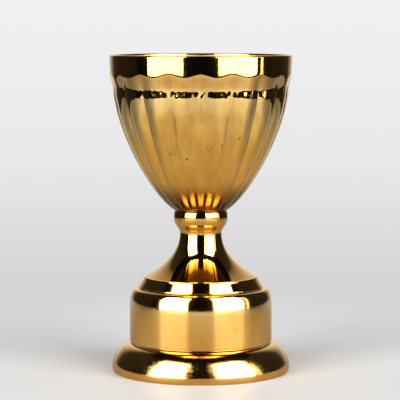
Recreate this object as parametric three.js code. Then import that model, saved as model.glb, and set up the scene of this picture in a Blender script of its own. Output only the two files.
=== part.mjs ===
// Cup trophy: a fluted bowl on a turned stem and a round two-step base, drawn together by one tie rod.
// Millimetres, +Z up. The origin is on the axis, in the plane the foot stands on; -Y is the front.
// A "pull" is a control point, [radius, height], that bends an outline's curve.
import * as THREE from 'three';

const GAP = 0.3;                 // between pieces that touch
const SHELL_WALL = 1.5;          // wall of the stem, drum and foot
const SEGMENTS = 48;             // around the plain turned pieces

// Tie rod, nuts and washers, M5
const ROD_R = 2.5;
const ROD_HOLE_R = ROD_R + GAP;
const ROD_SIDES = 24;
const ROD_PROUD_TOP = 1.6;       // rod end beyond its nut
const ROD_PROUD_BOTTOM = 0.8;
const NUT_FLATS = 8;
const NUT_HEIGHT = 4;
const LOW_NUT_HEIGHT = 2.7;
const WASHER_THICK = 1;
const BOWL_WASHER_R = 7;
const BASE_WASHER_R = 8;

// Foot ring and its pad
const FOOT_R = 34.1;
const FOOT_WIDEST_Z = 2.6;
const FOOT_EDGE_R = 33.8;        // outside of the edge it stands on
const FOOT_OPENING_R = 31.6;
const FOOT_TOP_Z = 11;
const FOOT_TOP_R = 27.4;         // where the web leaves the flare
const FOOT_LOW_PULL = [FOOT_R, 4.6];
const FOOT_HIGH_PULL = [31.6, 10.6];
const FOOT_WEB_THICK = 2;
const FOOT_WEB_R = 27;
const FOOT_HOLLOW_Z = 4.5;       // where the hollow starts to close in
const PAD_R = 31;
const PAD_BOTTOM_Z = 0.2;
const PAD_THICK = 1.2;

// Drum and the weight in it
const DRUM_R = 27.3;
const DRUM_BOTTOM_Z = FOOT_TOP_Z + GAP;
const DRUM_SEAM_BEVEL = 0.4;
const DRUM_WALL_TOP_Z = 25;      // where the wall starts to round into the shoulder
const DRUM_TOP_Z = 32;
const DRUM_TOP_R = 25.2;         // outside of the flat top
const SHOULDER_LOW_PULL = [27.2, 29.4];
const SHOULDER_HIGH_PULL = [26.9, DRUM_TOP_Z];
const DRUM_CEILING_R = DRUM_R - 2 * SHELL_WALL;
const DRUM_CEILING_DROP = 3;
const WEIGHT_R = 24;
const WEIGHT_THICK = 8;

// Stem: disc, flare, neck and knop
const DISC_BOTTOM_R = 24.1;
const DISC_BOTTOM_Z = DRUM_TOP_Z + GAP;
const DISC_TOP_R = 21.8;
const DISC_TOP_Z = 36.4;
const DISC_EDGE = 0.3;           // bevel of the disc's upper corner
const FLARE_LOW_PULL = [14.8, 40.2];
const NECK_R = 8.1;
const NECK_Z = 53.2;
const FLARE_HIGH_PULL = [NECK_R, 44.9];
const KNOP_R = 10.45;
const KNOP_Z = 59.3;             // height of the knop's widest ring
const KNOP_LOW_PULL = [NECK_R, 55.1];
const KNOP_HIGH_PULL = [KNOP_R, 55.9];
const STEM_TOP_R = 10;
const STEM_TOP_Z = 61.7;
const STEM_BORE_R = 4;
const BORE_BOTTOM_Z = 46;        // below this the stem is hollow
const HOLLOW_HIGH_PULL = [STEM_BORE_R, 41];
const HOLLOW_LOW_PULL = [13, 38];
const HOLLOW_R = 19;
const HOLLOW_Z = DISC_TOP_Z - SHELL_WALL;

// Bowl, measured at the lobes' crests
const BOWL_WALL = 1.4;
const BOWL_BOTTOM_Z = STEM_TOP_Z + GAP;
const BOWL_BOTTOM_R = 10.3;
const BOWL_FLOOR_Z = BOWL_BOTTOM_Z + 2.4;
const BOWL_FLOOR_R = 8.6;
const FLOOR_ROUND = 3;           // the inner wall starts this far above the floor
const BODY_LOW_PULL = [16.6, 65.5];
const BODY_HIGH_PULL = [30.4, 86.1];
const BODY_TOP_Z = 105.6;
const BODY_TOP_R = 33.2;
const LEDGE_Z = 108.2;           // lower edge of the sloping band
const LEDGE_R = 33.35;
const SLOPE_TOP_Z = 112.9;       // upper edge of the sloping band
const SLOPE_TOP_R = 34.7;
const RIM_R = 35;
const RIM_TOP_Z = 121.2;
const RIM_ROUND = 0.6;
const BODY_RINGS = 12;
const LOBES = 18;
const SEGMENTS_PER_LOBE = 4;
const LOBE_DEPTH_TOP = 0.35;     // depth of the valleys between lobes
const LOBE_DEPTH_MAX = 1.2;
const LOBE_DEPTH_BOTTOM = 0.2;
const LOBE_DEEPEST_Z = 95;

const gold = new THREE.MeshStandardMaterial({ color: 0xd9a441, roughness: 0.08, metalness: 1 });
const zinc = new THREE.MeshStandardMaterial({ color: 0xb8babd, roughness: 0.35, metalness: 1 });
const iron = new THREE.MeshStandardMaterial({ color: 0x4a4a4c, roughness: 0.8, metalness: 0.6 });
const felt = new THREE.MeshStandardMaterial({ color: 0x1f2a24, roughness: 1, metalness: 0 });

const trophy = new THREE.Group();

function addPiece(name, geometry, material) {
  const mesh = new THREE.Mesh(geometry, material);
  mesh.name = name;
  trophy.add(mesh);
}

const at = (r, z) => new THREE.Vector2(r, z);

function curve(start, startPull, endPull, end) {
  return new THREE.CubicBezierCurve(start, at(...startPull), at(...endPull), end);
}

// A solid of revolution from an outline that runs upwards on its outside and closes on itself
function turned(outline) {
  const closed = [...outline, outline[0].clone()];
  return new THREE.LatheGeometry(closed, SEGMENTS).rotateX(Math.PI / 2);
}

function ringPlate(holeR, outerR, bottomZ, thickness) {
  const topZ = bottomZ + thickness;
  return turned([at(holeR, bottomZ), at(outerR, bottomZ), at(outerR, topZ), at(holeR, topZ)]);
}

function nut(bottomZ, height) {
  const cornerR = NUT_FLATS / 2 / Math.cos(Math.PI / 6);
  const corners = [0, 1, 2, 3, 4, 5].map((side) => {
    const turn = side * Math.PI / 3;
    return at(cornerR * Math.cos(turn), cornerR * Math.sin(turn));
  });
  const outline = new THREE.Shape(corners);
  outline.holes.push(new THREE.Path().absarc(0, 0, ROD_HOLE_R, 0, 2 * Math.PI, true));
  const solid = new THREE.ExtrudeGeometry(outline, { depth: height, bevelEnabled: false });
  return solid.translate(0, 0, bottomZ);
}

function rod(bottomZ, topZ) {
  const cylinder = new THREE.CylinderGeometry(ROD_R, ROD_R, topZ - bottomZ, ROD_SIDES);
  return cylinder.rotateX(Math.PI / 2).translate(0, 0, (bottomZ + topZ) / 2);
}

function between(lowR, lowZ, highR, highZ, z) {
  return lowR + (highR - lowR) * (z - lowZ) / (highZ - lowZ);
}

const bodyCurve = curve(
  at(BOWL_BOTTOM_R, BOWL_BOTTOM_Z), BODY_LOW_PULL, BODY_HIGH_PULL, at(BODY_TOP_R, BODY_TOP_Z));
const bodyPoints = bodyCurve.getPoints(10 * BODY_RINGS);

// Radius of the lobes' crests: the curved body, a steep ledge, then the sloping band
function crestRadius(z) {
  if (z >= LEDGE_Z) return between(LEDGE_R, LEDGE_Z, SLOPE_TOP_R, SLOPE_TOP_Z, z);
  if (z >= BODY_TOP_Z) return between(BODY_TOP_R, BODY_TOP_Z, LEDGE_R, LEDGE_Z, z);
  const above = Math.max(1, bodyPoints.findIndex((point) => point.y >= z));
  const low = bodyPoints[above - 1];
  const high = bodyPoints[above];
  return between(low.x, low.y, high.x, high.y, z);
}

function lobeDepth(z) {
  const { clamp, lerp } = THREE.MathUtils;
  const above = clamp((z - LOBE_DEEPEST_Z) / (SLOPE_TOP_Z - LOBE_DEEPEST_Z), 0, 1);
  const below = clamp((LOBE_DEEPEST_Z - z) / (LOBE_DEEPEST_Z - BOWL_BOTTOM_Z), 0, 1);
  return lerp(lerp(LOBE_DEPTH_MAX, LOBE_DEPTH_TOP, above), LOBE_DEPTH_BOTTOM, below);
}

// Lobes are rounded outwards and meet in sharp valleys, one of them facing the front. Where the
// fluted wall runs out through the plain rim band it leaves a scalloped edge.
function outsideRadius(z, angle) {
  const valley = 1 - Math.abs(Math.sin(LOBES * angle / 2));
  const fluted = crestRadius(z) - lobeDepth(z) * valley;
  const rimBand = between(SLOPE_TOP_R, SLOPE_TOP_Z, RIM_R, RIM_TOP_Z, z);
  return Math.min(rimBand, fluted);
}

// A ring has either a plain radius r or an inset from the fluted outside
function flutedLathe(rings) {
  const segments = LOBES * SEGMENTS_PER_LOBE;
  const geometry = new THREE.LatheGeometry(rings.map((ring) => at(1, ring.z)), segments);
  const position = geometry.attributes.position;
  for (let step = 0; step <= segments; step += 1) {
    const angle = (step % segments) * 2 * Math.PI / segments;
    rings.forEach((ring, row) => {
      const r = ring.r ?? outsideRadius(ring.z, angle) - ring.inset;
      position.setXYZ(step * rings.length + row, r * Math.sin(angle), ring.z, r * Math.cos(angle));
    });
  }
  return geometry.rotateX(Math.PI / 2);
}

function bowl() {
  const bodyHeights = bodyCurve.getPoints(BODY_RINGS).map((point) => point.y);
  const middleOfSlope = (LEDGE_Z + SLOPE_TOP_Z) / 2;
  const scallopHeights = [-0.4, 0.6, 1.6].map((rise) => SLOPE_TOP_Z + rise);
  const heights = [...bodyHeights, LEDGE_Z, middleOfSlope, ...scallopHeights];
  const innerHeights = heights.filter((z) => z > BOWL_FLOOR_Z + FLOOR_ROUND).reverse();
  return flutedLathe([
    { r: ROD_HOLE_R, z: BOWL_BOTTOM_Z },
    ...heights.map((z) => ({ inset: 0, z })),
    { inset: 0, z: RIM_TOP_Z - RIM_ROUND },
    { inset: RIM_ROUND, z: RIM_TOP_Z },
    { inset: BOWL_WALL, z: RIM_TOP_Z },
    ...innerHeights.map((z) => ({ inset: BOWL_WALL, z })),
    { r: BOWL_FLOOR_R, z: BOWL_FLOOR_Z },
    { r: ROD_HOLE_R, z: BOWL_FLOOR_Z },
    { r: ROD_HOLE_R, z: BOWL_BOTTOM_Z },
  ]);
}

function stem() {
  const neck = at(NECK_R, NECK_Z);
  const flare = curve(at(DISC_TOP_R - DISC_EDGE, DISC_TOP_Z), FLARE_LOW_PULL, FLARE_HIGH_PULL, neck);
  const knop = curve(neck, KNOP_LOW_PULL, KNOP_HIGH_PULL, at(KNOP_R, KNOP_Z));
  const hollow = curve(
    at(STEM_BORE_R, BORE_BOTTOM_Z), HOLLOW_HIGH_PULL, HOLLOW_LOW_PULL, at(HOLLOW_R, HOLLOW_Z));
  return turned([
    at(DISC_BOTTOM_R - SHELL_WALL, DISC_BOTTOM_Z),
    at(DISC_BOTTOM_R, DISC_BOTTOM_Z),
    at(DISC_TOP_R, DISC_TOP_Z - DISC_EDGE),
    ...flare.getPoints(10),
    ...knop.getPoints(6).slice(1),
    at(STEM_TOP_R, STEM_TOP_Z),
    at(STEM_BORE_R, STEM_TOP_Z),
    ...hollow.getPoints(5),
  ]);
}

function drum() {
  const shoulder = curve(
    at(DRUM_R, DRUM_WALL_TOP_Z), SHOULDER_LOW_PULL, SHOULDER_HIGH_PULL, at(DRUM_TOP_R, DRUM_TOP_Z));
  const insideR = DRUM_R - SHELL_WALL;
  const ceilingZ = DRUM_TOP_Z - SHELL_WALL;
  return turned([
    at(insideR, DRUM_BOTTOM_Z),
    at(DRUM_R - DRUM_SEAM_BEVEL, DRUM_BOTTOM_Z),
    at(DRUM_R, DRUM_BOTTOM_Z + DRUM_SEAM_BEVEL),
    ...shoulder.getPoints(6),
    at(ROD_HOLE_R, DRUM_TOP_Z),
    at(ROD_HOLE_R, ceilingZ),
    at(DRUM_CEILING_R, ceilingZ),
    at(insideR, ceilingZ - DRUM_CEILING_DROP),
  ]);
}

function footRing() {
  const flare = curve(
    at(FOOT_R, FOOT_WIDEST_Z), FOOT_LOW_PULL, FOOT_HIGH_PULL, at(FOOT_TOP_R, FOOT_TOP_Z));
  const webZ = FOOT_TOP_Z - FOOT_WEB_THICK;
  return turned([
    at(FOOT_OPENING_R, 0),
    at(FOOT_EDGE_R, 0),
    ...flare.getPoints(8),
    at(ROD_HOLE_R, FOOT_TOP_Z),
    at(ROD_HOLE_R, webZ),
    at(FOOT_WEB_R, webZ),
    at(FOOT_OPENING_R, FOOT_HOLLOW_Z),
  ]);
}

function pad() {
  const topZ = PAD_BOTTOM_Z + PAD_THICK;
  return turned([at(0, PAD_BOTTOM_Z), at(PAD_R, PAD_BOTTOM_Z), at(PAD_R, topZ), at(0, topZ)]);
}

// The shells, from the bottom up
addPiece('foot_ring', footRing(), gold);
addPiece('drum', drum(), gold);
addPiece('stem', stem(), gold);
addPiece('bowl', bowl(), gold);

// What the rod clamps and carries
const weightZ = FOOT_TOP_Z + GAP;
const baseWasherZ = FOOT_TOP_Z - FOOT_WEB_THICK - GAP - WASHER_THICK;
const baseNutZ = baseWasherZ - GAP - LOW_NUT_HEIGHT;
const bowlWasherZ = BOWL_FLOOR_Z + GAP;
const bowlNutZ = bowlWasherZ + WASHER_THICK + GAP;
addPiece('base_pad', pad(), felt);
addPiece('base_nut', nut(baseNutZ, LOW_NUT_HEIGHT), zinc);
addPiece('base_washer', ringPlate(ROD_HOLE_R, BASE_WASHER_R, baseWasherZ, WASHER_THICK), zinc);
addPiece('base_weight', ringPlate(ROD_HOLE_R, WEIGHT_R, weightZ, WEIGHT_THICK), iron);
addPiece('bowl_washer', ringPlate(ROD_HOLE_R, BOWL_WASHER_R, bowlWasherZ, WASHER_THICK), zinc);
addPiece('bowl_nut', nut(bowlNutZ, NUT_HEIGHT), zinc);
addPiece('tie_rod', rod(baseNutZ - ROD_PROUD_BOTTOM, bowlNutZ + NUT_HEIGHT + ROD_PROUD_TOP), zinc);

export default trophy;
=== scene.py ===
import math

import bpy
import numpy as np
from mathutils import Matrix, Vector


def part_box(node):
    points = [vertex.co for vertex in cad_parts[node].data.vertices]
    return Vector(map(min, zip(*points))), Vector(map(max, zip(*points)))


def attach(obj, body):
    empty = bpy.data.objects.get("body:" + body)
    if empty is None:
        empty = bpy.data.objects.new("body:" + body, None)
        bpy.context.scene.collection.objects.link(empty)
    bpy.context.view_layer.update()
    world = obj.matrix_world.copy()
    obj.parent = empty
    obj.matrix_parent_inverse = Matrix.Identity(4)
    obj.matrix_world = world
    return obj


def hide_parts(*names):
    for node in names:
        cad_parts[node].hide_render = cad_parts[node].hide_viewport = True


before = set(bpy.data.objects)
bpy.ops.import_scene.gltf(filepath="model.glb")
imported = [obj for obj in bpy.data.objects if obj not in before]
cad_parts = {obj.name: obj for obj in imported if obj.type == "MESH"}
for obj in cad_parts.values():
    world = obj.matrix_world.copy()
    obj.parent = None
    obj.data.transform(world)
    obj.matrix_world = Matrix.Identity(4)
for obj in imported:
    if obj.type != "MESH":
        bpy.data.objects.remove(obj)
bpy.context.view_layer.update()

# Gold cup trophy: fluted bowl, knopped stem, drum and foot ring, clamped by a tie rod.
# Metres, the CAD's frame: +Z up, the origin under the middle of the foot, -Y the front.

MM = 0.001
TURN = 2 * math.pi

# Where the CAD nodes lie. Each piece takes its ends and its widest radius from its own box
BOWL_LOW, BOWL_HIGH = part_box("bowl")
STEM_LOW, STEM_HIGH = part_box("stem")
DRUM_LOW, DRUM_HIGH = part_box("drum")
FOOT_LOW, FOOT_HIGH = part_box("foot_ring")

# Points below are (radius, height); pulls are the two inner points of a cubic curve
SHELL_WALL = 1.5 * MM
ROD_HOLE_R = 2.8 * MM

# Bowl, with its lobes
RIM_R = BOWL_HIGH[0]
RIM_TOP_Z = BOWL_HIGH[2]
BOWL_BOTTOM_Z = BOWL_LOW[2]
BOWL_BOTTOM_R = 10.3 * MM
BOWL_WALL = 1.4 * MM
RIM_ROUND = 0.7 * MM
BODY_PULLS = ((16.6 * MM, 65.5 * MM), (30.4 * MM, 86.1 * MM))
BODY_TOP = (33.30 * MM, 105.4 * MM)
LEDGE = (33.47 * MM, 108.8 * MM)
SLOPE_TOP = (34.7 * MM, 112.9 * MM)
FLOOR_Z = BOWL_BOTTOM_Z + 2.4 * MM
FLOOR_R = 8.6 * MM
FLOOR_ROUND = 3 * MM            # the inner wall starts this far above the floor
LOBES = 18
SEGMENTS_PER_LOBE = 26
LOBE_DEPTH_TOP = 0.34 * MM
LOBE_DEPTH_MAX = 1.35 * MM
LOBE_DEPTH_BOTTOM = 0.2 * MM
LOBE_DEEPEST_Z = 97 * MM
VALLEY_ROUND = 0.035            # of half a lobe, on the body
VALLEY_ROUND_TOP = 0.5          # the same where the lobes run out at the rim band
SCALLOP_ROUND = 0.10 * MM
SCALLOPS_LOW = 0.8 * MM         # the scallops reach this far below the slope's upper edge
SCALLOPS_HIGH = 2.4 * MM        # and this far above it
PROFILE_ROUND = 0.48 * MM       # softens the body's corners at the ledge
LEDGE_WAVE = 0.022 * MM         # unevenness of the pressed ledge

# Stem, from its disc up
DISC_EDGE = 0.3 * MM
DISC_TOP = (21.8 * MM, 36.4 * MM)
NECK = (8.1 * MM, 53.2 * MM)
KNOP = (10.45 * MM, 59.3 * MM)
FLARE_PULLS = ((14.8 * MM, 40.2 * MM), (NECK[0], 44.9 * MM))
KNOP_PULLS = ((NECK[0], 55.1 * MM), (KNOP[0], 55.9 * MM))
KNOP_TOP_PULL = (KNOP[0], 60.6 * MM)
STEM_BORE_R = 4 * MM
BORE_BOTTOM = (STEM_BORE_R, 46 * MM)        # below this the stem is hollow
HOLLOW_PULLS = ((STEM_BORE_R, 41 * MM), (13 * MM, 38 * MM))
HOLLOW_LOW = (19 * MM, 34.9 * MM)

# Drum
DRUM_BEVEL = 0.35 * MM
DRUM_WALL_TOP_Z = 25 * MM       # where the wall starts to round into the shoulder
DRUM_TOP_R = 24.9 * MM
SHOULDER_LOW_PULL = (27.25 * MM, 28.7 * MM)
SHOULDER_HIGH_PULL_R = 26.7 * MM
DRUM_CEILING_INSET = 1.5 * MM
DRUM_CEILING_DROP = 3 * MM

# Foot
FOOT_WIDEST_Z = 2.1 * MM
FOOT_EDGE_R = 33.9 * MM         # outside of the edge it stands on
FOOT_EDGE_ROUND = 0.2 * MM
FOOT_OPENING_R = 31.6 * MM
FOOT_TOP_R = 27.4 * MM
FOOT_LOW_PULL_Z = 4.3 * MM
FOOT_HIGH_PULL = (31.6 * MM, 10.3 * MM)
FOOT_WEB_THICK = 2 * MM
FOOT_WEB_R = 27 * MM
FOOT_HOLLOW_Z = 4.5 * MM        # where the hollow starts to close in

# Fasteners and pad
NUT_SEGMENTS = 144
NUT_HOLE_BEVEL = (0.25 * MM, 0.35 * MM)     # across and along
NUT_CORNER_R = 0.97             # of half the flats, where the turned corners start
NUT_CORNER_DEPTH = 0.55         # of how far the corners stand out past the flats
WASHER_EDGE = 0.15 * MM
WEIGHT_EDGE = 0.8 * MM
THREAD_PITCH = 0.8 * MM
THREAD_DEPTH = 0.32 * MM
THREAD_LOW = 6 * MM             # length of the thread at the rod's low end
THREAD_HIGH = 9 * MM
THREAD_STEP = 0.1 * MM
ROD_CHAMFER = 0.5 * MM
ROD_SEGMENTS = 48
ROD_CENTRE_R = 0.05 * MM        # the rod's ends close to a pinhole of this radius
PAD_SEGMENTS = 240
PAD_TRIM = 0.06 * MM
PAD_RAGGED = 0.03 * MM
PAD_PILLOW = 0.6 * MM           # width of the edge that is pressed thinner
PAD_CENTRE_R = 0.1 * MM


# ---------------------------------------------------------------- mesh helpers

def new_object(name, verts, faces, material, smooth=True):
    mesh = bpy.data.meshes.new(name)
    mesh.from_pydata(verts, [], faces)
    mesh.update()
    mesh.polygons.foreach_set("use_smooth", [smooth] * len(mesh.polygons))
    piece = bpy.data.objects.new(name, mesh)
    bpy.context.scene.collection.objects.link(piece)
    mesh.materials.append(material)
    return piece


def bezier(start, pull_a, pull_b, end, steps):
    """Points of a cubic curve as (radius, height) pairs, both ends included."""
    a, b, c, d = (np.array(p, float) for p in (start, pull_a, pull_b, end))
    t = np.linspace(0, 1, steps + 1)[:, None]
    return (1 - t) ** 3 * a + 3 * (1 - t) ** 2 * t * b + 3 * (1 - t) * t**2 * c + t**3 * d


def line(start, end, steps):
    t = np.linspace(0, 1, steps + 1)[:, None]
    return (1 - t) * np.array(start, float) + t * np.array(end, float)


def arc(centre, radius, start_deg, end_deg, steps):
    """Points of an arc, 0 degrees pointing outwards and 90 up."""
    turn = np.radians(np.linspace(start_deg, end_deg, steps + 1))
    return np.array(centre) + radius * np.stack([np.cos(turn), np.sin(turn)], axis=1)


def outline(*stretches):
    """Joins stretches of points, leaving out a point that repeats the last one."""
    joined = []
    for point in np.vstack(stretches):
        if not joined or np.abs(point - joined[-1]).max() > 1e-7:
            joined.append(point)
    return np.array(joined)


def revolve(name, radii, heights, material, angle=None, smooth=True):
    """A closed body of revolution. radii is rings by segments, heights one number a ring."""
    rings, segments = radii.shape
    if angle is None:
        angle = np.arange(segments) * TURN / segments
    x = radii * np.sin(angle)
    y = -radii * np.cos(angle)
    z = np.repeat(heights[:, None], segments, axis=1)
    verts = np.stack([x, y, z], axis=2).reshape(-1, 3)
    ring = np.arange(rings)
    low = (ring * segments)[:, None]
    high = ((ring + 1) % rings * segments)[:, None]
    here = np.arange(segments)[None, :]
    there = (here + 1) % segments
    faces = np.stack([low + here, low + there, high + there, high + here], axis=2).reshape(-1, 4)
    return new_object(name, verts.tolist(), faces.tolist(), material, smooth)


def stacked(rings):
    """Radii and heights for revolve from a list of (radii of a ring, height)."""
    return np.array([r for r, z in rings]), np.array([z for r, z in rings])


def turned(name, points, material, segments=192):
    """A plain body of revolution from a closed outline that runs upwards on its outside."""
    return revolve(name, np.repeat(points[:, :1], segments, axis=1), points[:, 1], material)


def between(low, high, z):
    return low[0] + (high[0] - low[0]) * (z - low[1]) / (high[1] - low[1])


# ---------------------------------------------------------------- gold shells

BODY_CURVE = bezier((BOWL_BOTTOM_R, BOWL_BOTTOM_Z), *BODY_PULLS, BODY_TOP, 240)


def soft_min(a, b, reach):
    return (a + b - np.sqrt((a - b) ** 2 + reach**2)) / 2


def crest_profile():
    """Heights and radii of the lobes' crests, with the corners at the ledge rounded."""
    step = 0.05 * MM
    kernel_steps = 30
    z = np.arange(BOWL_BOTTOM_Z, RIM_TOP_Z, step)
    corners = np.vstack([BODY_CURVE, [LEDGE, SLOPE_TOP]])
    past_top = between(LEDGE, SLOPE_TOP, RIM_TOP_Z)
    sharp = np.interp(z, np.append(corners[:, 1], RIM_TOP_Z), np.append(corners[:, 0], past_top))
    reach = np.arange(-kernel_steps, kernel_steps + 1) * step
    kernel = np.exp(-(reach / PROFILE_ROUND) ** 2 / 2)
    padded = np.pad(sharp, kernel_steps, mode="edge")
    soft = np.convolve(padded, kernel / kernel.sum(), mode="valid")
    near_ledge = np.clip((z - 92 * MM) / (4 * MM), 0, 1)
    return z, sharp + (soft - sharp) * near_ledge


def lobe_depth(z):
    above = np.clip((z - LOBE_DEEPEST_Z) / (SLOPE_TOP[1] - LOBE_DEEPEST_Z), 0, 1)
    below = np.clip((LOBE_DEEPEST_Z - z) / (LOBE_DEEPEST_Z - BOWL_BOTTOM_Z), 0, 1)
    upper = LOBE_DEPTH_MAX + (LOBE_DEPTH_TOP - LOBE_DEPTH_MAX) * above**0.6
    return upper + (LOBE_DEPTH_BOTTOM - upper) * below**1.3


def lobe_angles():
    """Angles around the bowl, closer together towards the valleys."""
    t = np.arange(SEGMENTS_PER_LOBE) / SEGMENTS_PER_LOBE
    within = (1 - np.cos(math.pi * t)) / 2 * 0.75 + t * 0.25
    return ((np.arange(LOBES)[:, None] + within[None, :]) * TURN / LOBES).reshape(-1)


def lobe_height(z, angle):
    """0 in a valley, 1 on a crest: round lobes with a fillet in the valleys that grows upwards."""
    across = (angle * LOBES / TURN) % 1
    from_valley = 1 - np.abs(2 * across - 1)
    rise = np.clip((z - LEDGE[1]) / (SLOPE_TOP[1] - LEDGE[1]), 0, 1)
    fillet = VALLEY_ROUND + (VALLEY_ROUND_TOP - VALLEY_ROUND) * rise
    filleted = np.sqrt(from_valley**2 + fillet**2) - fillet
    highest = np.sqrt(1 + fillet**2) - fillet
    return 1 - (1 - filleted / highest) ** 2


def ledge_wave(z, angle):
    """Small unevenness that comes and goes along the ledge, a few ripples to each lobe."""
    dice = np.random.default_rng(7)
    wave = 0
    for ripples in (31, 47, 67, 89, 113):
        lean = dice.uniform(-900, 900)
        wave = wave + np.sin(ripples * angle + lean * z + dice.uniform(0, TURN))
    middle = (BODY_TOP[1] + LEDGE[1]) / 2
    return LEDGE_WAVE * wave * np.exp(-(((z - middle) / (2.6 * MM)) ** 2))


CREST_Z, CREST_R = crest_profile()


def outside_radius(z, angle):
    """Radius of the fluted outside: lobes that meet in valleys, cut off by the plain rim band."""
    crest = np.interp(z, CREST_Z, CREST_R)
    fluted = crest - lobe_depth(z) * (1 - lobe_height(z, angle)) + ledge_wave(z, angle)
    rim_band = between(SLOPE_TOP, (RIM_R, RIM_TOP_Z), z)
    return soft_min(rim_band, fluted, SCALLOP_ROUND)


def outside_heights(band):
    """Heights of the outer rings, close together where the shape turns quickly."""
    slope_low = LEDGE[1] + 1 * MM
    slope_high = SLOPE_TOP[1] - SCALLOPS_LOW
    body = BODY_CURVE[::4, 1]
    ledge = np.linspace(BODY_TOP[1], slope_low, 24)[1:]
    slope = np.linspace(slope_low, slope_high, 10)[1:]
    scallops = np.linspace(slope_high, SLOPE_TOP[1] + SCALLOPS_HIGH, 26)[1:]
    return np.concatenate([body, ledge, slope, scallops, band])


def lip_rings(angle):
    """The rounded lip, from the outside over to the inside."""
    low = RIM_TOP_Z - RIM_ROUND
    outer = outside_radius(low, angle)
    rings = []
    for turn in np.radians(np.linspace(12, 168, 12)):
        inset = BOWL_WALL / 2 * (1 - math.cos(turn))
        rings.append((outer - inset, low + RIM_ROUND * math.sin(turn)))
    return rings


def floor_points(wall_r):
    """From the inner wall down over the floor, and through the rod's hole to the underside."""
    rounded = bezier(
        (wall_r, FLOOR_Z + FLOOR_ROUND),
        (wall_r - 1 * MM, FLOOR_Z + 1 * MM),
        (FLOOR_R + 1.2 * MM, FLOOR_Z),
        (FLOOR_R, FLOOR_Z),
        10,
    )
    underside = (BOWL_BOTTOM_R - 1 * MM, BOWL_BOTTOM_Z)
    return [*rounded[1:], (ROD_HOLE_R, FLOOR_Z), (ROD_HOLE_R, BOWL_BOTTOM_Z), underside]


def make_bowl(material, inner_material):
    angle = lobe_angles()
    band = np.linspace(SLOPE_TOP[1] + SCALLOPS_HIGH, RIM_TOP_Z - RIM_ROUND, 6)[1:]
    rings = [(outside_radius(z, angle), z) for z in outside_heights(band)]
    rings += lip_rings(angle)
    first_inner = len(rings)
    inner_body = np.linspace(FLOOR_Z + FLOOR_ROUND, SLOPE_TOP[1] + 2 * MM, 40)
    inside = np.concatenate([inner_body, band[1:]])[::-1]
    rings += [(outside_radius(z, angle) - BOWL_WALL, z) for z in inside]
    rings += [(np.full(len(angle), r), z) for r, z in floor_points(rings[-1][0].mean())]
    shell = revolve("bowl_shell", *stacked(rings), material, angle)
    shell.data.materials.append(inner_material)
    last_inner = len(rings) - 3
    ring_of_face = np.repeat(np.arange(len(rings)), len(angle))
    is_inner = (ring_of_face >= first_inner) & (ring_of_face < last_inner)
    shell.data.polygons.foreach_set("material_index", is_inner.astype(np.int32))
    return shell


def make_stem(material):
    top_z = STEM_HIGH[2]
    disc_bottom = (STEM_HIGH[0], STEM_LOW[2])
    disc_side_top = (DISC_TOP[0], DISC_TOP[1] - DISC_EDGE)
    flare_start = (DISC_TOP[0] - DISC_EDGE, DISC_TOP[1])
    knop_top_pulls = (KNOP_TOP_PULL, (10.35 * MM, top_z - 0.5 * MM))
    points = outline(
        line((disc_bottom[0] - SHELL_WALL, disc_bottom[1]), disc_bottom, 1),
        line(disc_bottom, disc_side_top, 8),
        arc((flare_start[0], disc_side_top[1]), DISC_EDGE, 10, 80, 4),
        bezier(flare_start, *FLARE_PULLS, NECK, 60),
        bezier(NECK, *KNOP_PULLS, KNOP, 40),
        bezier(KNOP, *knop_top_pulls, (10.1 * MM, top_z - 0.15 * MM), 10),
        line((9.9 * MM, top_z), (STEM_BORE_R, top_z), 2),
        bezier(BORE_BOTTOM, *HOLLOW_PULLS, HOLLOW_LOW, 16),
    )
    return turned("stem_shell", points, material)


def make_drum(material):
    low, high = DRUM_LOW[2], DRUM_HIGH[2]
    radius = DRUM_HIGH[0]
    inner = radius - SHELL_WALL
    ceiling = high - SHELL_WALL
    wall_top = (radius, DRUM_WALL_TOP_Z)
    shoulder_top = (DRUM_TOP_R, high)
    shoulder_pulls = (SHOULDER_LOW_PULL, (SHOULDER_HIGH_PULL_R, high))
    points = outline(
        line((inner, low), (radius - DRUM_BEVEL, low), 1),
        arc((radius - DRUM_BEVEL, low + DRUM_BEVEL), DRUM_BEVEL, -90, 0, 6),
        line((radius, low + DRUM_BEVEL), wall_top, 20),
        bezier(wall_top, *shoulder_pulls, shoulder_top, 40),
        line(shoulder_top, (ROD_HOLE_R, high), 6),
        line((ROD_HOLE_R, ceiling), (inner - DRUM_CEILING_INSET, ceiling), 2),
        line((inner, ceiling - DRUM_CEILING_DROP), (inner, low), 2)[:-1],
    )
    return turned("drum_shell", points, material)


def make_foot(material):
    low, high = FOOT_LOW[2], FOOT_HIGH[2]
    radius = FOOT_HIGH[0]
    widest = (radius, FOOT_WIDEST_Z)
    stand = (FOOT_EDGE_R - FOOT_EDGE_ROUND, low)
    top = (FOOT_TOP_R, high)
    web_edge = (FOOT_WEB_R, high - FOOT_WEB_THICK)
    points = outline(
        line((FOOT_OPENING_R, low), stand, 1),
        bezier(stand, (FOOT_EDGE_R, low), (radius, 1.0 * MM), widest, 12),
        bezier(widest, (radius, FOOT_LOW_PULL_Z), FOOT_HIGH_PULL, top, 60),
        line(top, (ROD_HOLE_R, high), 4),
        line((ROD_HOLE_R, web_edge[1]), web_edge, 3),
        line(web_edge, (FOOT_OPENING_R, FOOT_HOLLOW_Z), 4),
    )
    return turned("foot_shell", points, material)


# ---------------------------------------------------------------- what the rod clamps and carries

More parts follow.
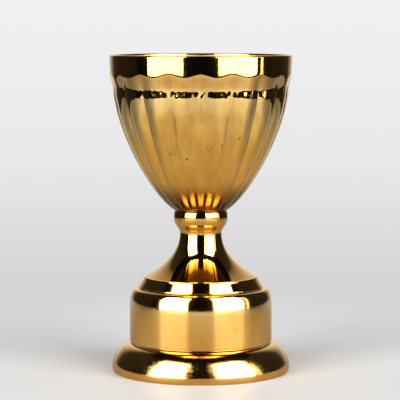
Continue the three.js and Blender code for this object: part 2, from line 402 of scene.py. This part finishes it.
def make_nut(name, material, low, high):
    """A hexagon nut with its corners turned down and its hole countersunk."""
    flats = high[1]
    stands_out = high[0] - flats
    side = TURN / 6
    turn = np.arange(NUT_SEGMENTS) * TURN / NUT_SEGMENTS
    from_flat = (turn + side / 2) % side - side / 2
    hexagon = flats / np.cos(from_flat)
    bevel_across, bevel_along = NUT_HOLE_BEVEL
    hole = np.full(NUT_SEGMENTS, ROD_HOLE_R)
    start = flats * NUT_CORNER_R
    corners = []
    for share in (0.0, 0.33, 0.66, 1.0):
        cone = start + share * (high[0] - start)
        corners.append((np.minimum(hexagon, cone), share * stands_out * NUT_CORNER_DEPTH))
    rings = [(hole + bevel_across, low[2])]
    rings += [(radii, low[2] + inset) for radii, inset in corners]
    rings += [(radii, high[2] - inset) for radii, inset in reversed(corners)]
    rings += [
        (hole + bevel_across, high[2]),
        (hole, high[2] - bevel_along),
        (hole, low[2] + bevel_along),
    ]
    return revolve(name, *stacked(rings), material, turn, smooth=False)


def make_plate(name, material, low, high, edge):
    """A round plate with a hole for the rod and rounded outer corners."""
    radius = high[0]
    points = outline(
        line((ROD_HOLE_R, low[2]), (radius - edge, low[2]), 3),
        arc((radius - edge, low[2] + edge), edge, -90, 0, 5),
        arc((radius - edge, high[2] - edge), edge, 0, 90, 5),
        line((radius - edge, high[2]), (ROD_HOLE_R, high[2]), 3),
    )
    return turned(name, points, material, 128)


def make_rod(name, material, low, high):
    """The tie rod, with a screw thread over both ends."""
    thread_ends = (low[2] + THREAD_LOW, high[2] - THREAD_HIGH)
    turn = np.arange(ROD_SEGMENTS) * TURN / ROD_SEGMENTS
    centre = np.full(ROD_SEGMENTS, ROD_CENTRE_R)
    heights = np.concatenate([
        np.arange(low[2], thread_ends[0], THREAD_STEP),
        np.linspace(*thread_ends, 8),
        np.arange(thread_ends[1] + THREAD_STEP, high[2], THREAD_STEP),
        [high[2]],
    ])
    rings = [(centre, low[2])]
    for z in heights:
        wave = np.abs(((z / THREAD_PITCH - turn / TURN) % 1) * 2 - 1)
        threaded = z < thread_ends[0] or z > thread_ends[1]
        end_cut = max(0, ROD_CHAMFER - min(z - low[2], high[2] - z))
        rings.append((high[0] - end_cut - THREAD_DEPTH * wave * threaded, z))
    rings.append((centre, high[2]))
    return revolve(name, *stacked(rings), material, turn)


def make_pad(name, material, low, high):
    """The felt disc, cut a little unevenly and slightly pillowed at its edge."""
    turn = np.arange(PAD_SEGMENTS) * TURN / PAD_SEGMENTS
    dice = np.random.default_rng(11)
    edge = sum(np.sin(k * turn + dice.uniform(0, TURN)) / k for k in (5, 9, 14, 23, 38))
    radius = high[0] - PAD_TRIM + PAD_RAGGED * edge
    centre = np.full(PAD_SEGMENTS, PAD_CENTRE_R)
    thick = high[2] - low[2]
    rings = [(centre, low[2]), (radius * 0.5, low[2]), (radius - PAD_PILLOW, low[2])]
    for share, inset in ((0.15, 0.2 * MM), (0.4, 0.02 * MM), (0.6, 0.0), (0.85, 0.2 * MM)):
        rings.append((radius - inset, low[2] + share * thick))
    rings += [(radius - PAD_PILLOW, high[2]), (radius * 0.5, high[2]), (centre, high[2])]
    radii, heights = stacked(rings)
    return revolve(name, np.minimum(radii, high[0]), heights, material, turn)


# ---------------------------------------------------------------- materials

GOLD = (0.82, 0.46, 0.10)
CLOUD_SHADE = (0.93, 0.86, 0.74)    # the gold's deeper clouds, times its tint
STAIN = (0.045, 0.014, 0.004, 1)
FELT_DARK = (0.012, 0.025, 0.018)
FELT_PALE = (0.045, 0.075, 0.055)
RAMP_HEIGHT = 0.125                 # metres that a ramp over the height spans

# Noise scales, per metre, and bump heights, in metres
CLOUD_SCALE = 70
POLISH_SCALE = 160
PEEL_SCALE = 420
PEEL_HEIGHT = 2.2e-6
SPECK_SCALE = 2600
SPECK_HEIGHT = 1.1e-6
STREAK_SCALE = 330
STREAK_STRETCH = (1, 1, 0.06)

# Sockets of the colour mix node, which has several of the same name
MIX_COLOUR_A = 6
MIX_COLOUR_B = 7
MIX_COLOUR_RESULT = 2


class Nodes:
    """A short way to build a node tree."""

    def __init__(self, name):
        self.material = bpy.data.materials.new(name)
        self.material.use_nodes = True
        self.tree = self.material.node_tree
        self.tree.nodes.clear()
        self.shader = self.add("ShaderNodeBsdfPrincipled")
        output = self.add("ShaderNodeOutputMaterial")
        self.join(self.shader, "BSDF", output, "Surface")

    def add(self, kind, **settings):
        node = self.tree.nodes.new(kind)
        for key, value in settings.items():
            setattr(node, key, value)
        return node

    def join(self, source, output, target, socket):
        self.tree.links.new(source.outputs[output], target.inputs[socket])

    def value(self, node, **values):
        for key, value in values.items():
            node.inputs[key.replace("_", " ")].default_value = value

    def noise(self, scale, detail=2.0, roughness=0.5):
        node = self.add("ShaderNodeTexNoise")
        self.value(node, Scale=scale, Detail=detail, Roughness=roughness)
        self.join(self.place(), "Object", node, "Vector")
        return node

    def place(self):
        if not hasattr(self, "coordinates"):
            self.coordinates = self.add("ShaderNodeTexCoord")
        return self.coordinates

    def ramp(self, source, output, stops):
        """A colour ramp. Stops are (position, colour), or (position, grey)."""
        node = self.add("ShaderNodeValToRGB")
        while len(node.color_ramp.elements) < len(stops):
            node.color_ramp.elements.new(0.5)
        for element, (position, value) in zip(node.color_ramp.elements, stops):
            colour = value if isinstance(value, tuple) else (value,) * 3
            element.position = position
            element.color = (*colour, 1)
        self.join(source, output, node, "Fac")
        return node

    def times(self, colour, grey):
        """One colour output times another."""
        node = self.add("ShaderNodeVectorMath", operation="MULTIPLY")
        self.join(*colour, node, 0)
        self.join(*grey, node, 1)
        return node, "Vector"

    def bump(self, source, output, height, before=None):
        node = self.add("ShaderNodeBump")
        self.value(node, Strength=1.0, Distance=height)
        self.join(source, output, node, "Height")
        if before:
            self.join(before, "Normal", node, "Normal")
        return node


def height_ramp(n, stops):
    """A ramp over the object's height. Stops are (height, grey or colour), within RAMP_HEIGHT."""
    split = n.add("ShaderNodeSeparateXYZ")
    n.join(n.place(), "Object", split, "Vector")
    scaled = n.add("ShaderNodeMath", operation="MULTIPLY")
    scaled.inputs[1].default_value = 1 / RAMP_HEIGHT
    n.join(split, "Z", scaled, 0)
    return n.ramp(scaled, "Value", [(height / RAMP_HEIGHT, value) for height, value in stops])


def surface_point(azimuth, height, radius_at):
    """A point on a surface. Degrees run from the front, positive to the viewer's right."""
    turn = math.radians(azimuth)
    radius = float(radius_at(height, turn))
    return (radius * math.sin(turn), -radius * math.cos(turn), height)


def stroke(start, end, width, radius_at, count=5):
    """Marks along a short scratch from one (azimuth, height in mm) to another."""
    shares = [k / (count - 1) for k in range(count)]
    places = [tuple(a + (b - a) * share for a, b in zip(start, end)) for share in shares]
    return [(surface_point(azimuth, z * MM, radius_at), width * MM) for azimuth, z in places]


def wear_mask(n, marks):
    """1 inside a mark, 0 outside. A mark is (point, width)."""
    total = None
    for point, width in marks:
        gap = n.add("ShaderNodeVectorMath", operation="DISTANCE")
        n.join(n.place(), "Object", gap, 0)
        gap.inputs[1].default_value = point
        near = n.add("ShaderNodeMapRange", interpolation_type="SMOOTHSTEP")
        n.value(near, From_Min=width * 0.5, From_Max=width * 1.3, To_Min=1, To_Max=0)
        n.join(gap, "Value", near, "Value")
        if total:
            both = n.add("ShaderNodeMath", operation="MAXIMUM")
            n.join(*total, both, 0)
            n.join(near, "Result", both, 1)
            total = (both, "Value")
        else:
            total = (near, "Result")
    return total


def upward_streaks(n, strength):
    """A grey that runs in fine streaks up the surface, darker by strength at most."""
    drawn = n.add("ShaderNodeMapping")
    drawn.inputs["Scale"].default_value = STREAK_STRETCH
    n.join(n.place(), "Object", drawn, "Vector")
    grainy = n.add("ShaderNodeTexNoise")
    n.value(grainy, Scale=STREAK_SCALE, Detail=2.0)
    n.join(drawn, "Vector", grainy, "Vector")
    return n.ramp(grainy, "Fac", [(0.35, 1 - strength), (0.65, 1.0)])


def stain(n, colour, marks):
    """The colour output with dark wear marks over it."""
    stained = n.add("ShaderNodeMix", data_type="RGBA")
    n.join(*wear_mask(n, marks), stained, "Factor")
    n.join(*colour, stained, MIX_COLOUR_A)
    stained.inputs[MIX_COLOUR_B].default_value = STAIN
    return stained, MIX_COLOUR_RESULT


def gold_material(
    name, tint=GOLD, rough=(0.035, 0.08), grain=1.0, pits=0.0, dull=None, shade=None,
    streaks=0.0, marks=()
):
    """Bright gold plate. rough is (least, most) and grain multiplies the fine bump, pits is the
    depth of sparse pits, dull adds roughness and shade is painted shade and painted reflection
    colour over the height, streaks is how dark they get, and marks are wear spots."""
    n = Nodes(name)
    deep = tuple(c * k for c, k in zip(tint, CLOUD_SHADE))
    cloud = n.noise(CLOUD_SCALE, 3)
    colour = (n.ramp(cloud, "Fac", [(0.35, deep), (0.65, tint)]), "Color")
    polish = n.ramp(n.noise(POLISH_SCALE, 4, 0.6), "Fac", [(0.3, rough[0]), (0.75, rough[1])])
    roughness = (polish, "Color")
    if dull:
        added = n.add("ShaderNodeMath", operation="ADD")
        n.join(*roughness, added, 0)
        n.join(height_ramp(n, dull), "Color", added, 1)
        roughness = (added, "Value")
    # painted shade and painted reflection colour: the colour is scaled over the height by shade
    if shade:
        colour = n.times(colour, (height_ramp(n, shade), "Color"))
    if streaks:
        colour = n.times(colour, (upward_streaks(n, streaks), "Color"))
    if marks:
        colour = stain(n, colour, marks)
    n.join(*colour, n.shader, "Base Color")
    n.join(*roughness, n.shader, "Roughness")
    peel = n.bump(n.noise(PEEL_SCALE, 2), "Fac", PEEL_HEIGHT * grain)
    bump = n.bump(n.noise(SPECK_SCALE, 2), "Fac", SPECK_HEIGHT * grain, before=peel)
    if pits:
        sparse = n.ramp(n.noise(SPECK_SCALE, 2), "Fac", [(0.5, 0.0), (0.72, 1.0)])
        bump = n.bump(sparse, "Color", pits, before=bump)
    n.join(bump, "Normal", n.shader, "Normal")
    n.value(n.shader, Metallic=1.0)
    return n.material


def plain_metal(name, colour, roughness):
    n = Nodes(name)
    dark = tuple(c * 0.8 for c in colour)
    tone = n.ramp(n.noise(400, 4), "Fac", [(0.3, dark), (0.7, colour)])
    polish = n.ramp(n.noise(900, 4), "Fac", [(0.3, roughness), (0.8, roughness * 1.6)])
    n.join(tone, "Color", n.shader, "Base Color")
    n.join(polish, "Color", n.shader, "Roughness")
    n.join(n.bump(n.noise(1800, 3), "Fac", 4e-6), "Normal", n.shader, "Normal")
    n.value(n.shader, Metallic=1.0)
    return n.material


def felt_material():
    n = Nodes("felt")
    tone = n.ramp(n.noise(900, 5, 0.7), "Fac", [(0.3, FELT_DARK), (0.75, FELT_PALE)])
    n.join(tone, "Color", n.shader, "Base Color")
    n.join(n.bump(n.noise(2400, 4, 0.8), "Fac", 6e-5), "Normal", n.shader, "Normal")
    n.value(n.shader, Roughness=0.95, Sheen_Weight=0.4)
    return n.material


# ---------------------------------------------------------------- camera, lights and stage

CAMERA_AT = (0, -0.7333, 0.1332)
CAMERA_DOWN = 5.282             # degrees below level
SOFTBOX_AWAY = 1.3              # metres from the axis
BACKDROP_R = 1.6


def make_camera():
    data = bpy.data.cameras.new("camera")
    data.sensor_width = 36
    data.lens = 172.9
    data.shift_x = -0.0019
    data.shift_y = 0.0012
    data.clip_end = 50
    camera = bpy.data.objects.new("camera", data)
    camera.location = CAMERA_AT
    camera.rotation_euler = (math.radians(90 - CAMERA_DOWN), 0, 0)
    bpy.context.scene.collection.objects.link(camera)
    bpy.context.scene.camera = camera


def aim(thing, point):
    direction = Vector(point) - thing.location
    thing.rotation_euler = direction.to_track_quat("-Z", "Y").to_euler()


def softbox(name, from_deg, to_deg, low, high, radiance):
    """An upright rectangular light. Degrees run from the front, positive to the viewer's right."""
    middle = math.radians((from_deg + to_deg) / 2)
    half = math.radians(abs(to_deg - from_deg) / 2)
    data = bpy.data.lights.new(name, "AREA")
    data.shape = "RECTANGLE"
    data.size = 2 * SOFTBOX_AWAY * math.tan(half)
    data.size_y = high - low
    data.energy = radiance * math.pi * data.size * data.size_y
    lamp = bpy.data.objects.new(name, data)
    height = (low + high) / 2
    lamp.location = (SOFTBOX_AWAY * math.sin(middle), -SOFTBOX_AWAY * math.cos(middle), height)
    aim(lamp, (0, 0, height))
    lamp.visible_camera = False
    bpy.context.scene.collection.objects.link(lamp)


def disc(name, radius, z, material, middle_y=0.0):
    corners = 96
    angle = np.arange(corners) * TURN / corners
    verts = [(radius * math.cos(a), radius * math.sin(a) + middle_y, z) for a in angle]
    piece = new_object(name, verts, [tuple(range(corners))], material, smooth=False)
    return piece


# How dark the mirrored table gets around the object: 0 is straight in front, 1 straight behind.
# It is brightest where the softboxes shine down on it.
SIDE_SHADE = (
    (0.0, 0.06), (0.02, 0.05), (0.045, 0.0), (0.29, 0.0), (0.37, 0.42), (0.46, 0.76),
    (0.60, 0.90), (0.76, 0.62), (0.90, 0.25),
)
SIDE_SHADE_REACH = (0.09, 0.26)     # it sets in between these distances from the axis
LIFT_REACH = (-0.03, 0.04)          # and the floor is painted lighter behind the axis between these Y

# The mirrored table's colour by distance from the axis: painted shadow and warm light bounced off
# the gold near the object, lighter and bluer further out
TABLE_MIRRORED = (
    (0.03, (0.200, 0.176, 0.150)),
    (0.15, (0.265, 0.245, 0.205)),
    (0.19, (0.270, 0.265, 0.26)),
    (0.22, (0.305, 0.325, 0.38)),
    (0.32, (0.300, 0.325, 0.42)),
)
FLOOR_SEEN = ((0.0, (0.285, 0.280, 0.274)), (0.12, (0.296, 0.298, 0.301)))
TABLE_R = 0.5


def map_range(n, source, output, reach, to, **settings):
    """The source output, mapped from a reach of values to another."""
    node = n.add("ShaderNodeMapRange", **settings)
    n.value(node, From_Min=reach[0], From_Max=reach[1], To_Min=to[0], To_Max=to[1])
    n.join(source, output, node, "Value")
    return node


def scale_colour(n, colour, node, output):
    """The colour output, scaled by a number output."""
    scaled = n.add("ShaderNodeVectorMath", operation="SCALE")
    n.join(*colour, scaled, "Vector")
    n.join(node, output, scaled, "Scale")
    return scaled, "Vector"


def side_shading(n, y, length, strength):
    """1, less what SIDE_SHADE takes away beside and behind the object."""
    along = n.add("ShaderNodeMath", operation="DIVIDE")
    n.join(*y, along, 0)
    n.join(length, "Value", along, 1)
    from_front = map_range(n, along, "Value", (-1, 1), (0, 1))
    side = n.ramp(from_front, "Result", SIDE_SHADE)
    away = map_range(n, length, "Value", SIDE_SHADE_REACH, (0, -strength))
    kept = n.add("ShaderNodeMath", operation="MULTIPLY_ADD")
    n.join(side, "Color", kept, 0)
    n.join(away, "Result", kept, 1)
    kept.inputs[2].default_value = 1
    return kept


def table_material(name, stops, fade=None, side_shade=0.0, lift=1.0):
    """Stops are (distance from the axis, colour). side_shade is painted shade beside and behind,
    lift is painted light behind the axis, and it fades out between the two distances in fade."""
    n = Nodes(name)
    n.value(n.shader, Roughness=0.44, IOR=1.09)
    length = n.add("ShaderNodeVectorMath", operation="LENGTH")
    n.join(n.place(), "Object", length, "Vector")
    split = n.add("ShaderNodeSeparateXYZ")
    n.join(n.place(), "Object", split, "Vector")
    y = (split, "Y")
    colour = (n.ramp(length, "Value", stops), "Color")
    colour = scale_colour(n, colour, side_shading(n, y, length, side_shade), "Value")
    # painted light: the colour is made lighter behind the axis by lift
    lifted = map_range(n, *y, LIFT_REACH, (1, lift), interpolation_type="SMOOTHSTEP")
    colour = scale_colour(n, colour, lifted, "Result")
    n.join(*colour, n.shader, "Base Color")
    if fade:
        alpha = map_range(n, length, "Value", fade, (1, 0), interpolation_type="SMOOTHSTEP")
        n.join(alpha, "Result", n.shader, "Alpha")
    return n.material


def make_stage():
    """A table that is seen only in the object, and a floor that only the camera sees."""
    table_top = table_material("table_top", TABLE_MIRRORED, side_shade=0.72)
    table = disc("table", TABLE_R, -0.3 * MM, table_top, middle_y=-0.09)
    table.visible_camera = False
    floor_top = table_material("floor_top", FLOOR_SEEN, fade=(0.045, 0.28), lift=1.18)
    floor = disc("floor", TABLE_R, -0.1 * MM, floor_top)
    floor.visible_glossy = False
    floor.visible_diffuse = False
    floor.visible_shadow = False


# The sweep seen directly, from SWEEP_LOW to SWEEP_HIGH degrees of elevation
SWEEP_LOW = -11
SWEEP_HIGH = 1
# Painted light and shade on the sweep: a darker band just above its lowest edge, lighter upwards
SWEEP = (
    (0.0, 0.78), (0.04, 0.775), (0.07, 0.74), (0.11, 0.66), (0.142, 0.61), (0.18, 0.63),
    (0.33, 0.686), (0.477, 0.76), (0.55, 0.80), (0.625, 0.823), (0.85, 0.855), (0.96, 0.88),
)
SWEEP_BLUE = 1.015              # a touch of blue over grey
DARK_ROOM = (0.004, 0.0035, 0.003, 1)


def make_world():
    """Seen directly, a pale sweep painted darker low down and lighter upwards. In reflections, a
    dark room.
    """
    world = bpy.data.worlds.new("studio")
    world.use_nodes = True
    tree = world.node_tree
    tree.nodes.clear()
    output = tree.nodes.new("ShaderNodeOutputWorld")
    path = tree.nodes.new("ShaderNodeLightPath")
    coordinates = tree.nodes.new("ShaderNodeTexCoord")
    split = tree.nodes.new("ShaderNodeSeparateXYZ")
    ramp = tree.nodes.new("ShaderNodeValToRGB")
    mapped = tree.nodes.new("ShaderNodeMapRange")
    seen = tree.nodes.new("ShaderNodeBackground")
    unseen = tree.nodes.new("ShaderNodeBackground")
    mix = tree.nodes.new("ShaderNodeMixShader")
    mapped.inputs["From Min"].default_value = math.sin(math.radians(SWEEP_LOW))
    mapped.inputs["From Max"].default_value = math.sin(math.radians(SWEEP_HIGH))
    while len(ramp.color_ramp.elements) < len(SWEEP):
        ramp.color_ramp.elements.new(0.5)
    for element, (position, grey) in zip(ramp.color_ramp.elements, SWEEP):
        element.position = position
        element.color = (grey, grey, grey * SWEEP_BLUE, 1)
    unseen.inputs["Color"].default_value = DARK_ROOM
    link = tree.links.new
    link(coordinates.outputs["Generated"], split.inputs["Vector"])
    link(split.outputs["Z"], mapped.inputs["Value"])
    link(mapped.outputs["Result"], ramp.inputs["Fac"])
    link(ramp.outputs["Color"], seen.inputs["Color"])
    link(path.outputs["Is Camera Ray"], mix.inputs["Fac"])
    link(unseen.outputs["Background"], mix.inputs[1])
    link(seen.outputs["Background"], mix.inputs[2])
    link(mix.outputs["Shader"], output.inputs["Surface"])
    bpy.context.scene.world = world


# Painted glow of the backdrop sheet, from beside the object, 0, to straight behind it, 1
BACKDROP_GLOW = ((0.0, 0.0), (0.55, 0.006), (0.76, 0.02), (0.88, 0.42), (0.96, 0.85))


def make_backdrop():
    """A curved sheet behind the object, seen only in it, that glows as painted light for a lit
    pale backdrop and fades out towards its sides.
    """
    turn = np.radians(np.linspace(85, 275, 96))
    low = [(BACKDROP_R * math.sin(a), -BACKDROP_R * math.cos(a), -0.7) for a in turn]
    high = [(x, y, 2.0) for x, y, z in low]
    count = len(turn)
    faces = [(i, i + 1, count + i + 1, count + i) for i in range(count - 1)]
    n = Nodes("backdrop_sheet")
    split = n.add("ShaderNodeSeparateXYZ")
    n.join(n.place(), "Object", split, "Vector")
    behind = map_range(n, split, "Y", (0, BACKDROP_R), (0, 1))
    glow = n.ramp(behind, "Result", BACKDROP_GLOW)
    n.value(n.shader, Base_Color=(0, 0, 0, 1), Roughness=1.0, Emission_Strength=1.0)
    n.join(glow, "Color", n.shader, "Emission Color")
    sheet = new_object("backdrop", low + high, faces, n.material)
    sheet.visible_camera = False
    sheet.visible_shadow = False


def make_lights():
    """Two tall softboxes, each a dimmer low part under a high one, and a thin strip."""
    for name, start, end in (("softbox_left", -68.6, -21.7), ("softbox_right", 22, 73.5)):
        softbox(name + "_low", start, end, -0.03, 0.22, 10.0)
        softbox(name + "_high", start, end, 0.22, 1.9, 13.0)
    softbox("strip_right", 79.5, 83, -0.1, 1.0, 3.5)


# ---------------------------------------------------------------- wear marks

def joined(scratches):
    return [mark for scratch in scratches for mark in scratch]


def bowl_marks():
    at = outside_radius
    return joined([
        stroke((4.5, 87.7), (6.5, 86.3), 0.16, at),
        stroke((6.5, 86.3), (8.6, 87.7), 0.16, at),
        stroke((16.6, 88.6), (16.0, 87.2), 0.22, at),
        stroke((29.6, 91.4), (28.9, 90.2), 0.18, at),
        stroke((-12.0, 82.9), (-10.8, 83.1), 0.24, at, 3),
        stroke((-25.5, 84.8), (-25.4, 84.8), 0.28, at, 2),
        stroke((-76.5, 117.0), (-76.4, 117.0), 0.35, at, 2),
    ])


def drum_marks():
    def at(height, turn):
        return DRUM_HIGH[0]

    return joined([
        stroke((44.8, 17.4), (46.6, 16.8), 0.16, at, 4),
        stroke((46.6, 16.8), (46.6, 15.4), 0.16, at, 4),
        stroke((29.5, 19.0), (29.6, 19.0), 0.25, at, 2),
        stroke((53.0, 24.2), (53.1, 24.2), 0.25, at, 2),
    ])


# ---------------------------------------------------------------- assembly

bpy.context.scene.view_settings.view_transform = "Standard"

make_camera()
make_world()
make_stage()
make_backdrop()
make_lights()

gold_bowl = gold_material(
    "gold_bowl",
    tint=(0.93, 0.61, 0.19),
    dull=[(0.062, 0.16), (0.0685, 0.10), (0.073, 0.0)],
    # shade is painted shade and painted reflection colour: dark under the bowl where the stem
    # meets it, lighter and paler up the body, darker again from 112 mm up
    shade=[
        (0.062, (0.18, 0.15, 0.09)),
        (0.068, (0.36, 0.30, 0.20)),
        (0.0735, (0.96, 0.86, 0.64)),
        (0.090, (0.96, 0.88, 0.70)),
        (0.104, 1.0),
        (0.1125, (0.90, 0.80, 0.72)),
        (0.1140, (0.88, 0.75, 0.53)),
    ],
    streaks=0.15,
    marks=bowl_marks(),
)
# The inside is a rougher copy of the gold, and its darker tint is painted shade inside the bowl
gold_inside = gold_material("gold_inside", tint=(0.62, 0.34, 0.075), rough=(0.32, 0.42), grain=2.0)
gold_stem = gold_material("gold_stem", grain=1.3)
gold_drum = gold_material(
    "gold_drum",
    tint=(0.84, 0.50, 0.14),
    rough=(0.05, 0.10),
    grain=2.4,
    pits=3e-6,
    marks=drum_marks(),
)
gold_foot = gold_material(
    "gold_foot", tint=(0.83, 0.49, 0.14), rough=(0.07, 0.12), grain=5.0, pits=8e-6
)
zinc = plain_metal("zinc_steel", (0.66, 0.67, 0.68), 0.28)
iron = plain_metal("cast_iron", (0.10, 0.10, 0.11), 0.6)
felt = felt_material()


def place(piece, node):
    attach(piece, "root")
    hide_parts(node)


place(make_bowl(gold_bowl, gold_inside), "bowl")
place(make_stem(gold_stem), "stem")
place(make_drum(gold_drum), "drum")
place(make_foot(gold_foot), "foot_ring")
for name, node in (("cup_nut", "bowl_nut"), ("low_nut", "base_nut")):
    place(make_nut(name, zinc, *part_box(node)), node)
for name, node in (("cup_washer", "bowl_washer"), ("low_washer", "base_washer")):
    place(make_plate(name, zinc, *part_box(node), WASHER_EDGE), node)
weight = make_plate("weight", iron, *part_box("base_weight"), WEIGHT_EDGE)
place(weight, "base_weight")
place(make_rod("rod", zinc, *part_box("tie_rod")), "tie_rod")
pad_low, pad_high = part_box("base_pad")
pad = make_pad("felt_pad", felt, pad_low, pad_high)
place(pad, "base_pad")
